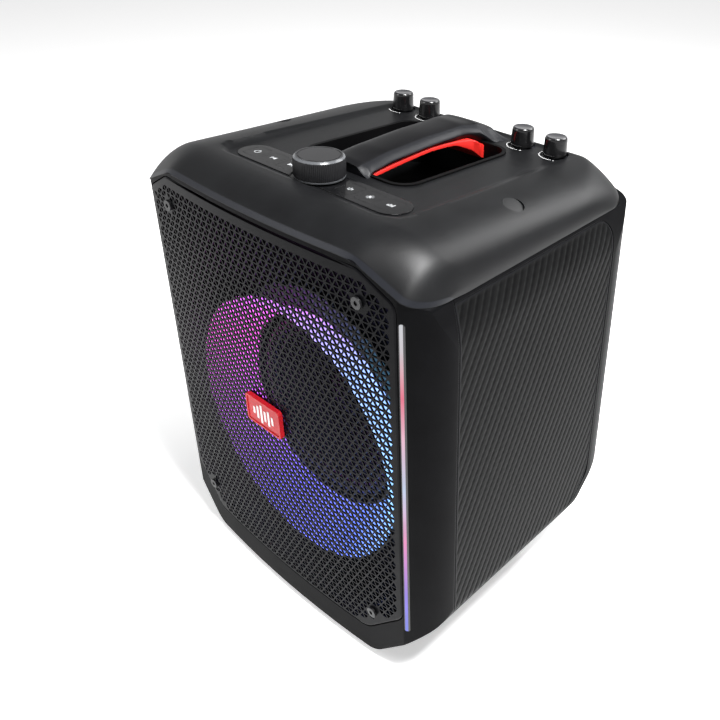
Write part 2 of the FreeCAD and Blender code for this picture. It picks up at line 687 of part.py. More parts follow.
def make_cone():
    inner, outer = SURROUND
    return revolved_about_woofer([
        (CONE_NECK + 1, 78), (inner, 53), (inner, 54.2), (CONE_NECK + 1, 79.6),
    ])


def make_surround():
    """A half-round roll between the cone's edge and the basket."""
    inner, outer = SURROUND
    middle = (inner + outer) / 2
    roll = (outer - inner) / 2 - 2.2
    flat = [(inner - 2.5, 52.7), (middle - roll, 52.7)]
    arch = []
    for step in range(1, 12):
        angle = math.pi * step / 12
        arch.append((middle - roll * math.cos(angle), 52.7 - roll * math.sin(angle)))
    front_line = [(inner - 2.5, 51.5), (middle - roll - 1.2, 51.5)]
    outer_arch = []
    for step in range(1, 12):
        angle = math.pi * step / 12
        reach = roll + 1.2
        outer_arch.append((middle - reach * math.cos(angle), 52.7 - reach * math.sin(angle)))
    return revolved_about_woofer(
        flat + arch + [(middle + roll, 52.7), (outer, 52.7), (outer, 51.5), (middle + roll + 1.2, 51.5)]
        + outer_arch[::-1] + front_line[::-1])


def make_dust_cap():
    sphere = Part.makeSphere(34, V(0, FRONT + 97, WOOFER_Z))
    inside = Part.makeSphere(33, V(0, FRONT + 97, WOOFER_Z))
    keep = front_cylinder(0, WOOFER_Z, 24, 60, 71.5)
    return sphere.cut(inside).common(keep)


def make_voice_coil():
    inner, outer = COIL
    return revolved_about_woofer([(inner, 76), (outer, 76), (outer, 105), (inner, 105)])


def make_spider():
    points = []
    for step in range(13):
        radius = 20.2 + step * 2.0
        points.append((radius, 84 + 0.9 * math.sin(step * math.pi / 2)))
    return revolved_about_woofer(points + [(radius, depth + 0.8) for radius, depth in reversed(points)])


def make_battery():
    return flat_prism(rectangle(58, 44, 100, 4), UNDERSIDE + WALL + GAP, 56)


def make_amplifier():
    board = box(-78, 78, 84, 85.6, 62, 146)
    for x in (-60, -30, 20):
        board = board.fuse(Part.makeCylinder(6, 14, V(x, 70.2, 132), V(0, 1, 0)))
    return board


def make_heat_sink():
    sink = box(-40, 40, 78.5, 83.7, 72, 112)
    for index in range(10):
        x = -38 + index * 8.2
        sink = sink.fuse(box(x, x + 2.2, 60, 79, 72, 112))
    return sink


def make_cabinet_screws():
    screws = []
    for x in (-78, 78):
        for z in (60, 142):
            head = rear_cylinder(x, z, 3.4, REAR - 0.9, REAR)
            screws.append(head)
    return Part.makeCompound(screws)


def build():
    parts = {
        "top_shell": make_top_shell(),
        "shoulder_plugs": make_shoulder_plugs(),
        "hand_pocket": make_hand_pocket(),
        "handle_bar": make_handle_bar(),
        "handle_liner": make_handle_liner(),
        "front_bezel": make_front_bezel(),
        "led_bar_left": make_led_bar(-1),
        "led_bar_right": make_led_bar(1),
        "side_panel_left": make_side_panel(-1),
        "side_panel_right": make_side_panel(1),
        "rear_cabinet": make_rear_cabinet(),
        "rear_panel": make_rear_panel(),
        "microphone_jacks": Part.makeCompound([jack(x, 6.0, 3.25, 24) for x in MICROPHONE_X]),
        "aux_jack": jack(AUX_X, 4.0, 1.8, 15),
        "usb_socket": make_usb_socket(),
        "power_inlet": make_power_inlet(),
        "switch_frame": make_switch_frame(),
        "power_rocker": make_rocker(),
        "bass_port": make_bass_port(),
        "rubber_feet": make_rubber_feet(),
        "control_panel": make_control_panel(),
        "main_knob": make_main_knob(),
        "main_shaft": make_shaft(0, PANEL_Y, -13, 11),
        "main_encoder": make_turning_base(0, PANEL_Y, 7, BOARD_TOP, -6),
        "control_boards": make_control_boards(),
        "grille": make_grille(),
        "grille_screws": make_grille_screws(),
        "badge": make_badge(),
        "ring_diffuser": make_ring_diffuser(),
        "ring_board": make_ring_board(),
        "baffle": make_baffle(),
        "woofer_basket": make_basket(),
        "woofer_magnet": make_magnet(),
        "woofer_cone": make_cone(),
        "woofer_surround": make_surround(),
        "woofer_dust_cap": make_dust_cap(),
        "voice_coil": make_voice_coil(),
        "woofer_spider": make_spider(),
        "battery_pack": make_battery(),
        "amplifier_board": make_amplifier(),
        "heat_sink": make_heat_sink(),
        "cabinet_screws": make_cabinet_screws(),
    }
    for name, x in KEY_SPOTS.items():
        parts["key_" + name] = make_key(x)
    for name, x in SMALL_KNOBS.items():
        parts[name + "_knob"] = make_small_knob(x)
        parts[name + "_shaft"] = make_shaft(x, SMALL_Y, -13, 10)
        parts[name + "_potentiometer"] = make_turning_base(x, SMALL_Y, 6, BOARD_TOP, -8)
    return parts


def main():
    os.makedirs("parts", exist_ok=True)
    for name, shape in build().items():
        shape.exportStep("parts/" + name + ".step")


main()
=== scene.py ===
import json
import math

import bmesh
import bpy
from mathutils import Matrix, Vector


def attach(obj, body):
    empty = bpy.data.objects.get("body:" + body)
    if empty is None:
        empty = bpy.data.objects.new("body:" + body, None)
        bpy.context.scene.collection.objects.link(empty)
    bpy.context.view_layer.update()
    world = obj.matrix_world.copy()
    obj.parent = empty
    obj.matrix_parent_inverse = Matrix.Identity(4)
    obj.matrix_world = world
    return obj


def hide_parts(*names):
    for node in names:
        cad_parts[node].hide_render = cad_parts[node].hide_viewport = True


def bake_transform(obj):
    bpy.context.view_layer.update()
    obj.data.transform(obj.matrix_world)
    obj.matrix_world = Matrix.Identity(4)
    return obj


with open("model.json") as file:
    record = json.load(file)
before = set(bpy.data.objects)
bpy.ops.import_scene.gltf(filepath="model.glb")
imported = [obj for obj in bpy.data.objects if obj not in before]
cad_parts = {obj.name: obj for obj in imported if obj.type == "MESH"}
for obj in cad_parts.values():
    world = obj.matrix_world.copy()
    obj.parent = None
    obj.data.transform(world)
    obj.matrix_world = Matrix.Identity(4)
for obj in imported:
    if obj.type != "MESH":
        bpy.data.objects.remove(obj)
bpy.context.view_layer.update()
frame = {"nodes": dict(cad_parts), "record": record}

NODES = frame["nodes"]

# Sizes in millimetres, angles in radians. y is measured from the plane of the grille screws, front towards -Y.
MM = 0.001
FRONT = -113.75
BULGE = 8.0
BULGE_EDGE = 129.0
BULGE_RADIUS = (BULGE_EDGE ** 2 + BULGE ** 2) / (2 * BULGE)
DECK_HALF = 144.0
DECK_LENGTH = 234.5
SEAM_TOP = 324.3
RIM_BACK = 34.0
RIM_Z = 358.0
DECK_FALL = math.tan(math.radians(4.0))
TRAY_Z = 354.0
TRAY_TURN = math.radians(3.3)
TRAY_FALL = math.tan(TRAY_TURN)
TRAY_HALF = 95.0
TRAY_END = 231.5
PANEL_Y = 22.0
PANEL_TOP = 0.6
SMALL_Y = 185.5
SMALL_KNOBS = {"treble": -80.2, "bass": -49.2, "echo": 49.2, "microphone": 80.2}
KEYS = {"power": -69, "previous": -50, "next": -31, "function": 31, "light": 50, "mode": 69}
WOOFER_Z = 158.4
MIDDLE = 186.0
HALF_WIDTH = 149.5
FRONT_CORNER = 30.0
REAR_RADIUS = 32.5
CROWN_HALF = 90.0
LIP_Z = 347.25
LIP_HALF = 97.0
LIP_BLEND = 4.0
LIP_SLOPE = 0.473
LIP_DEPTH = 3.2
SKIN = 2.6
WALL = 2.4
NEAR_BAND = 34.0
REAR_BAND = 30.0
TRAY_CORNER = 20.0
TRAY_RIM = 6.0
POCKET_HALF = 55.25
POCKET_START = 81.75
POCKET_END = 203.25
POCKET_CORNER = 17.3
PANEL_HOLE = (84.2, 8.3, 35.7, 13.65)
THROUGH = -12.0
RECESS_RADIUS = 10.5
RECESS_FLOOR = -0.9
SHAFT_HOLE = 4.0
PLUG_LEAN = math.radians(26)
PLUG_X = 118.0
PLUG_Y = 118.0
PLUG_Z = 346.0
PLUG_HOLE = 7.7
SCREW_X = 100.5
SCREW_Z = 134.7
SCREW_CLEAR = 6.4
RELIEF_LEAN = math.radians(62)
RELIEF_PITCH = 6.4
HANDLE_START = 78.0
HANDLE_END = 226.5
LINER_START = 87.0
LINER_END = 203.5
ROLL_SECTORS = 12


def smooth(t):
    t = min(max(t, 0.0), 1.0)
    return t * t * (3 - 2 * t)


def bow_depth(x):
    return BULGE_RADIUS - math.sqrt(BULGE_RADIUS ** 2 - x ** 2)


def on_tray(x, y, z):
    """A point of the tray's own frame, in the speaker's frame."""
    c, s = math.cos(TRAY_TURN), math.sin(TRAY_TURN)
    return (x, FRONT + RIM_BACK + y * c + z * s, TRAY_Z - y * s + z * c)


# ---------------------------------------------------------------- materials
def new_material(name):
    material = bpy.data.materials.new(name)
    material.use_nodes = True
    return material, material.node_tree.nodes, material.node_tree.links


def surface(name, dark, light, rough, spread=0.08, metal=0.0, scale=500.0, bump=0.08, coat=0.0, bevel=0.0004,
            painted_highlight=None, specular=0.5, fine=2600.0):
    """A moulded or metal surface: cloudy colour, uneven gloss, a fine grain and softened edges.
    The painted highlight argument is the lighter colour and the roughness where the mesh's painted highlight
    attribute is 1."""
    material, nodes, links = new_material(name)
    shader = nodes["Principled BSDF"]
    shader.inputs["Metallic"].default_value = metal
    shader.inputs["Coat Weight"].default_value = coat
    shader.inputs["Coat Roughness"].default_value = 0.06
    shader.inputs["Specular IOR Level"].default_value = specular
    coord = nodes.new("ShaderNodeTexCoord")
    cloud = nodes.new("ShaderNodeTexNoise")
    cloud.inputs["Scale"].default_value = scale * 0.08
    cloud.inputs["Detail"].default_value = 5.0
    links.new(coord.outputs["Object"], cloud.inputs["Vector"])
    colour = nodes.new("ShaderNodeValToRGB")
    colour.color_ramp.elements[0].position = 0.3
    colour.color_ramp.elements[1].position = 0.7
    colour.color_ramp.elements[0].color = (*dark, 1)
    colour.color_ramp.elements[1].color = (*light, 1)
    links.new(cloud.outputs["Fac"], colour.inputs["Fac"])
    gloss = nodes.new("ShaderNodeMapRange")
    gloss.inputs["To Min"].default_value = max(rough - spread / 2, 0.02)
    gloss.inputs["To Max"].default_value = rough + spread / 2
    links.new(cloud.outputs["Fac"], gloss.inputs["Value"])
    colour_out, gloss_out = colour.outputs["Color"], gloss.outputs["Result"]
    # Painted highlight: a lighter colour and its roughness go where the mesh's highlight attribute is 1.
    if painted_highlight:
        mark = nodes.new("ShaderNodeAttribute")
        mark.attribute_name = "painted_highlight"
        mix = nodes.new("ShaderNodeMix")
        mix.data_type = "RGBA"
        for socket in mix.inputs:
            if socket.type == "RGBA" and socket.name == "B":
                socket.default_value = (*painted_highlight[0], 1)
        factor = [s for s in mix.inputs if s.name == "Factor" and s.type == "VALUE"][0]
        first = [s for s in mix.inputs if s.name == "A" and s.type == "RGBA"][0]
        result = [s for s in mix.outputs if s.type == "RGBA"][0]
        links.new(mark.outputs["Fac"], factor)
        links.new(colour_out, first)
        colour_out = result
        tone = nodes.new("ShaderNodeMix")
        tone.data_type = "FLOAT"
        tone.inputs["B"].default_value = painted_highlight[1]
        links.new(mark.outputs["Fac"], tone.inputs["Factor"])
        links.new(gloss_out, tone.inputs["A"])
        gloss_out = tone.outputs["Result"]
    links.new(colour_out, shader.inputs["Base Color"])
    links.new(gloss_out, shader.inputs["Roughness"])
    grain = nodes.new("ShaderNodeTexNoise")
    grain.inputs["Scale"].default_value = fine
    grain.inputs["Detail"].default_value = 3.0
    links.new(coord.outputs["Object"], grain.inputs["Vector"])
    relief = nodes.new("ShaderNodeBump")
    relief.inputs["Strength"].default_value = bump
    relief.inputs["Distance"].default_value = 0.0002
    links.new(grain.outputs["Fac"], relief.inputs["Height"])
    if bevel:
        edge = nodes.new("ShaderNodeBevel")
        edge.samples = 4
        edge.inputs["Radius"].default_value = bevel
        links.new(edge.outputs["Normal"], relief.inputs["Normal"])
    links.new(relief.outputs["Normal"], shader.inputs["Normal"])
    return material


def glow(name, stops, axis, low, high, strength, turn=False, base=(0.6, 0.6, 0.62), line=None):
    """A lit diffuser whose colour runs along an axis, or round the woofer's middle when turn is set.
    low and high bound the axis in metres and have no effect with turn. line is the (middle, half width)
    of the part that is lit, in metres from the speaker's middle."""
    material, nodes, links = new_material(name)
    shader = nodes["Principled BSDF"]
    shader.inputs["Base Color"].default_value = (*base, 1)
    shader.inputs["Roughness"].default_value = 0.35
    place = nodes.new("ShaderNodeNewGeometry")
    split = nodes.new("ShaderNodeSeparateXYZ")
    links.new(place.outputs["Position"], split.inputs["Vector"])
    ramp = nodes.new("ShaderNodeValToRGB")
    if turn:
        drop = nodes.new("ShaderNodeMath")
        drop.operation = "SUBTRACT"
        drop.inputs[1].default_value = WOOFER_Z * MM
        links.new(split.outputs["Z"], drop.inputs[0])
        angle = nodes.new("ShaderNodeMath")
        angle.operation = "ARCTAN2"
        links.new(drop.outputs["Value"], angle.inputs[0])
        links.new(split.outputs["X"], angle.inputs[1])
        source, low, high = angle.outputs["Value"], -math.pi, math.pi
    else:
        source = split.outputs[axis]
    span = nodes.new("ShaderNodeMapRange")
    span.inputs["From Min"].default_value = low
    span.inputs["From Max"].default_value = high
    links.new(source, span.inputs["Value"])
    cloud = nodes.new("ShaderNodeTexNoise")
    cloud.inputs["Scale"].default_value = 30.0
    links.new(place.outputs["Position"], cloud.inputs["Vector"])
    links.new(span.outputs["Result"], ramp.inputs["Fac"])
    elements = ramp.color_ramp.elements
    elements[0].position, elements[0].color = stops[0][0], (*stops[0][1], 1)
    elements[1].position, elements[1].color = stops[-1][0], (*stops[-1][1], 1)
    for position, tint in stops[1:-1]:
        element = elements.new(position)
        element.color = (*tint, 1)
    links.new(ramp.outputs["Color"], shader.inputs["Emission Color"])
    power = nodes.new("ShaderNodeMapRange")
    power.inputs["To Min"].default_value = strength * 0.7
    power.inputs["To Max"].default_value = strength * 1.3
    links.new(cloud.outputs["Fac"], power.inputs["Value"])
    power_out = power.outputs["Result"]
    if line:
        width = nodes.new("ShaderNodeMath")
        width.operation = "ABSOLUTE"
        links.new(split.outputs["X"], width.inputs[0])
        off = nodes.new("ShaderNodeMath")
        off.operation = "COMPARE"
        off.inputs[1].default_value, off.inputs[2].default_value = line
        links.new(width.outputs["Value"], off.inputs[0])
        lit = nodes.new("ShaderNodeMath")
        lit.operation = "MULTIPLY"
        links.new(off.outputs["Value"], lit.inputs[0])
        links.new(power_out, lit.inputs[1])
        power_out = lit.outputs["Value"]
    links.new(power_out, shader.inputs["Emission Strength"])
    return material


# The shell's lighter colour on the front lip's bevel is a painted highlight.
SHELL = surface("shell_black", (0.0024, 0.0025, 0.0029), (0.0042, 0.0044, 0.0050), 0.42, bump=0.28, bevel=0.0,
                specular=0.22, painted_highlight=((0.0085, 0.0092, 0.0120), 0.36))
BEZEL = surface("bezel_black", (0.0014, 0.0014, 0.0017), (0.0026, 0.0027, 0.0032), 0.42, bump=0.2,
                bevel=0.0009,
                specular=0.03)
# The side panels' lighter colour along their rim is a painted highlight.
SIDE = surface("side_texture", (0.0022, 0.0023, 0.0024), (0.0040, 0.0042, 0.0043), 0.44, bump=0.3, bevel=0.0,
               specular=0.035, painted_highlight=((0.0070, 0.0070, 0.0080), 0.4))
POCKET = surface("pocket_black", (0.0010, 0.0010, 0.0012), (0.0018, 0.0018, 0.0020), 0.55, bump=0.2,
                 specular=0.08)
# The handle's lighter colour on its sloped flanks is a painted highlight.
HANDLE = surface("handle_satin", (0.0024, 0.0024, 0.0028), (0.0040, 0.0040, 0.0047), 0.42, bevel=0.0,
                 bump=0.12,
                 specular=0.16, painted_highlight=((0.0080, 0.0084, 0.0100), 0.4))
RED = surface("liner_red", (0.36, 0.010, 0.008), (0.46, 0.016, 0.012), 0.42, bump=0.1, specular=0.2)
PANEL = surface("panel_gloss", (0.0030, 0.0030, 0.0034), (0.0050, 0.0050, 0.0056), 0.2, 0.05, coat=0.15,
                bump=0.02,
                bevel=0.0006, specular=0.25)
KEY = surface("key_gloss", (0.0032, 0.0032, 0.0036), (0.0055, 0.0055, 0.0060), 0.22, 0.05, coat=0.15,
              bump=0.02,
              bevel=0.0002, specular=0.25)
# The main knob's lighter colour on its top chamfer and on the ring near its foot is a painted highlight.
KNOB = surface("knob_gloss", (0.0070, 0.0070, 0.0078), (0.0110, 0.0110, 0.0120), 0.3, 0.06, coat=0.1,
               bump=0.04,
               specular=0.25, painted_highlight=((0.07, 0.073, 0.078), 0.24), bevel=0.0)
# The small knobs' lighter colour across their tops is a painted highlight.
SMALL = surface("small_knob_gloss", (0.0035, 0.0035, 0.0038), (0.0060, 0.0060, 0.0065), 0.2, 0.05, coat=0.4,
                bump=0.02, specular=0.35, painted_highlight=((0.028, 0.028, 0.031), 0.3), bevel=0.0)
GRILLE = surface("grille_metal", (0.0024, 0.0024, 0.0029), (0.0050, 0.0050, 0.0060), 0.3, 0.1, metal=0.0,
                 bump=0.15,
                 bevel=0.0, specular=0.05)
SCREW = surface("screw_black", (0.004, 0.004, 0.0045), (0.008, 0.008, 0.009), 0.4, metal=0.2)
BADGE = surface("badge_red", (0.40, 0.008, 0.012), (0.50, 0.013, 0.018), 0.36, bump=0.05, specular=0.2)
WHITE = surface("print_white", (0.62, 0.62, 0.62), (0.74, 0.74, 0.74), 0.4, bump=0.02, bevel=0.0)
GREY_PRINT = surface("print_grey", (0.32, 0.33, 0.34), (0.42, 0.43, 0.44), 0.4, bump=0.02, bevel=0.0)
BOARD = surface("board_green", (0.006, 0.06, 0.025), (0.01, 0.09, 0.035), 0.45)
BAFFLE = surface("baffle_board", (0.0020, 0.0020, 0.0022), (0.0040, 0.0040, 0.0042), 0.8, bump=0.4,
                 specular=0.1)
BASKET = surface("basket_metal", (0.02, 0.02, 0.022), (0.035, 0.035, 0.038), 0.5, metal=0.6)
MAGNET = surface("magnet_ferrite", (0.03, 0.03, 0.03), (0.05, 0.05, 0.05), 0.6, bump=0.4)
CONE = surface("cone_paper", (0.010, 0.009, 0.013), (0.016, 0.014, 0.020), 0.6, bump=0.5, specular=0.2)
RUBBER = surface("surround_rubber", (0.012, 0.012, 0.013), (0.02, 0.02, 0.021), 0.45, bump=0.2, bevel=0.0)
COPPER = surface("coil_copper", (0.45, 0.17, 0.07), (0.62, 0.26, 0.12), 0.3, metal=1.0)
FABRIC = surface("spider_fabric", (0.26, 0.13, 0.03), (0.38, 0.2, 0.06), 0.85, bump=0.6, bevel=0.0)
WRAP = surface("battery_wrap", (0.02, 0.06, 0.22), (0.03, 0.09, 0.3), 0.35, coat=0.4)
SINK = surface("sink_aluminium", (0.5, 0.5, 0.52), (0.62, 0.62, 0.64), 0.35, metal=1.0)
STEEL = surface("shaft_steel", (0.45, 0.45, 0.46), (0.6, 0.6, 0.61), 0.25, metal=1.0)
JACK = surface("jack_body", (0.006, 0.006, 0.007), (0.011, 0.011, 0.012), 0.42, specular=0.2)
SOCKET = surface("socket_steel", (0.42, 0.42, 0.44), (0.58, 0.58, 0.6), 0.3, metal=1.0)
FEET = surface("feet_rubber", (0.010, 0.010, 0.010), (0.02, 0.02, 0.02), 0.75, bump=0.5)
REAR_PANEL = surface("rear_panel_black", (0.003, 0.003, 0.0034), (0.005, 0.005, 0.0056), 0.4, bump=0.15,
                     specular=0.1)
POT = surface("pot_case", (0.3, 0.3, 0.31), (0.42, 0.42, 0.43), 0.35, metal=0.9)
RING_LIGHT = glow("ring_light", [
    (0.0, (0.75, 0.10, 0.85)), (0.18, (0.16, 0.12, 0.95)), (0.34, (0.10, 0.20, 1.0)),
    (0.5, (0.25, 0.55, 1.0)),
    (0.64, (0.30, 0.45, 1.0)), (0.80, (0.70, 0.12, 0.90)), (0.92, (0.95, 0.10, 0.75)),
    (1.0, (0.75, 0.10, 0.85)),
], "Z", 0, 1, 2.0, turn=True, base=(0.12, 0.12, 0.16))
BAR_COLOURS = [
    (0.0, (0.10, 0.16, 0.95)), (0.14, (0.25, 0.14, 0.95)), (0.34, (0.95, 0.22, 0.55)),
    (0.52, (0.62, 0.75, 1.0)),
    (0.68, (0.95, 0.50, 0.66)), (0.8, (1.0, 0.10, 0.22)), (0.93, (0.72, 0.66, 0.70)),
    (1.0, (0.66, 0.68, 0.72)),
]
LIGHT_BAR = glow("light_bar", BAR_COLOURS, "Z", 0.051, 0.316, 0.7, base=(0.01, 0.01, 0.012),
                 line=(0.1311, 0.00095))
LEFT_BAR = glow("light_bar_left", BAR_COLOURS, "Z", 0.051, 0.316, 1.3, base=(0.01, 0.01, 0.012),
                line=(0.1314, 0.0019))

FINISH = {
    "shell_black": SHELL, "bezel_black": BEZEL, "side_texture": SIDE, "pocket_black": POCKET,
    "handle_satin": HANDLE, "liner_red": RED, "panel_gloss": PANEL, "key_gloss": KEY, "knob_gloss": KNOB,
    "small_knob_gloss": SMALL, "grille_metal": GRILLE, "screw_black": SCREW, "badge_red": BADGE,
    "light_bar": LIGHT_BAR, "ring_light": RING_LIGHT, "board_green": BOARD, "baffle_board": BAFFLE,
    "basket_metal": BASKET, "magnet_ferrite": MAGNET, "cone_paper": CONE, "surround_rubber": RUBBER,
    "coil_copper": COPPER, "spider_fabric": FABRIC, "battery_wrap": WRAP, "sink_aluminium": SINK,
    "shaft_steel": STEEL, "jack_body": JACK, "socket_steel": SOCKET, "feet_rubber": FEET,
    "rear_panel_black": REAR_PANEL, "pot_case": POT,
}
for part in frame["record"]["subparts"]:
    node = NODES[part["node"]]
    node.data.materials.clear()
    node.data.materials.append(FINISH[part["material_slot"]])
NODES["led_bar_left"].data.materials[0] = LEFT_BAR


# ---------------------------------------------------------------- mesh helpers
def mesh_piece(name, points, faces, material, body="root", painted_highlight=None, angle=32.0,
               ride=True):
    """A piece from points in millimetres. The painted highlight argument gives the painted highlight attribute
    at each point.
    """
    mesh = bpy.data.meshes.new(name)
    mesh.from_pydata([(x * MM, y * MM, z * MM) for x, y, z in points], [], faces)
    if painted_highlight is not None:
        mark = mesh.attributes.new("painted_highlight", "FLOAT", "POINT")
        mark.data.foreach_set("value", painted_highlight)
    work = bmesh.new()
    work.from_mesh(mesh)
    bmesh.ops.remove_doubles(work, verts=work.verts, dist=2e-6)
    bmesh.ops.recalc_face_normals(work, faces=work.faces)
    work.to_mesh(mesh)
    work.free()
    mesh.shade_smooth()
    mesh.set_sharp_from_angle(angle=math.radians(angle))
    mesh.materials.append(material)
    piece = bpy.data.objects.new(name, mesh)
    bpy.context.scene.collection.objects.link(piece)
    if ride:
        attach(piece, body)
    return piece


def grid_faces(rows, columns, wrap=False, start=0):
    """Quads of a grid whose points run along each row in turn."""
    faces = []
    last = columns if wrap else columns - 1
    for row in range(rows - 1):
        for column in range(last):
            after = (column + 1) % columns
            a = start + row * columns + column
            b = start + row * columns + after
            faces.append((a, b, b + columns, a + columns))
    return faces


def prism(outline, low, high):
    """Points and faces of a straight prism over an outline of (x, y)."""
    count = len(outline)
    points = [(x, y, low) for x, y in outline] + [(x, y, high) for x, y in outline]
    faces = [tuple(range(count))[::-1], tuple(range(count, 2 * count))]
    for index in range(count):
        after = (index + 1) % count
        faces.append((index, after, after + count, index + count))
    return points, faces


def rounded_rectangle(half_x, y_from, y_to, radius, centre_x=0.0, steps=8):
    outline = []
    corners = [(1, y_from, -90), (1, y_to, 0), (-1, y_to, 90), (-1, y_from, 180)]
    for sign, y, start in corners:
        inward = 1 if y == y_from else -1
        cx, cy = centre_x + sign * (half_x - radius), y + inward * radius
        for step in range(steps + 1):
            turn = math.radians(start + 90 * step / steps)
            outline.append((cx + radius * math.cos(turn), cy + radius * math.sin(turn)))
    return outline


def circle(cx, cy, radius, steps=48):
    return [(cx + radius * math.cos(2 * math.pi * i / steps), cy + radius * math.sin(2 * math.pi * i / steps))
            for i in range(steps)]


def cut_with(piece, points, faces):
    """Cuts a closed prism out of a piece's mesh."""
    cutter = mesh_piece("cutter", points, faces, SHELL, ride=False)
    modifier = piece.modifiers.new("cut", "BOOLEAN")
    modifier.operation = "DIFFERENCE"
    modifier.solver = "EXACT"
    modifier.object = cutter
    cut = bpy.data.meshes.new_from_object(piece.evaluated_get(bpy.context.evaluated_depsgraph_get()))
    piece.modifiers.clear()
    piece.data = cut
    bpy.data.objects.remove(cutter)


# ---------------------------------------------------------------- top shell
def front_edge(x):
    side = abs(x)
    if side <= BULGE_EDGE:
        return bow_depth(side) - BULGE
    width = DECK_HALF - BULGE_EDGE
    t = min((side - BULGE_EDGE) / width, 1.0)
    return FRONT_CORNER * (1 - math.sqrt(max(1 - t ** 2, 0.0)))


def rear_edge(x):
    over = max(abs(x) - (DECK_HALF - REAR_RADIUS), 0.0)
    return DECK_LENGTH - REAR_RADIUS + math.sqrt(max(REAR_RADIUS ** 2 - over ** 2, 0.0))


def lip_height(x):
    over = (abs(x) - LIP_HALF) / LIP_BLEND
    soft = LIP_BLEND * (math.log1p(math.exp(over)) if over < 30 else over)
    return LIP_Z - LIP_SLOPE * soft


def shoulder(x, y, rear):
    deck = RIM_Z - DECK_FALL * (y - RIM_BACK)
    over = min(max((abs(x) - CROWN_HALF) / (DECK_HALF - CROWN_HALF), 0.0), 1.0)
    roll = (1 - over ** 2.4) ** (1 / 2.3)
    reach = 5.0 + 42.0 * smooth((abs(x) - 96.0) / 40.0)
    back = min(max(1 - rear / reach, 0.0), 1.0)
    end = (1 - back ** 2.3) ** (1 / 2.3)
    low = SEAM_TOP + (deck - 7.0 - SEAM_TOP) * (1 - smooth((abs(x) - 88.0) / 40.0))
    crown = SEAM_TOP + (deck - SEAM_TOP) * roll
    return low + (max(crown, low) - low) * end if crown > low else SEAM_TOP + (crown - SEAM_TOP) * end


def tray_depth(x, y):
    """1 on the tray's floor, falling to 0 at the crest of its rim."""
    half_y = (TRAY_END - RIM_BACK) / 2
    away_x = abs(x) - (TRAY_HALF - TRAY_CORNER)
    away_y = abs(y - RIM_BACK - half_y) - (half_y - TRAY_CORNER)
    outside = math.hypot(max(away_x, 0.0), max(away_y, 0.0)) + min(max(away_x, away_y), 0.0) - TRAY_CORNER
    t = min(max(-outside / TRAY_RIM, 0.0), 1.0)
    return t * t * (3 - 2 * t) * 0.35 + (1 - (1 - t) ** 2) * 0.65


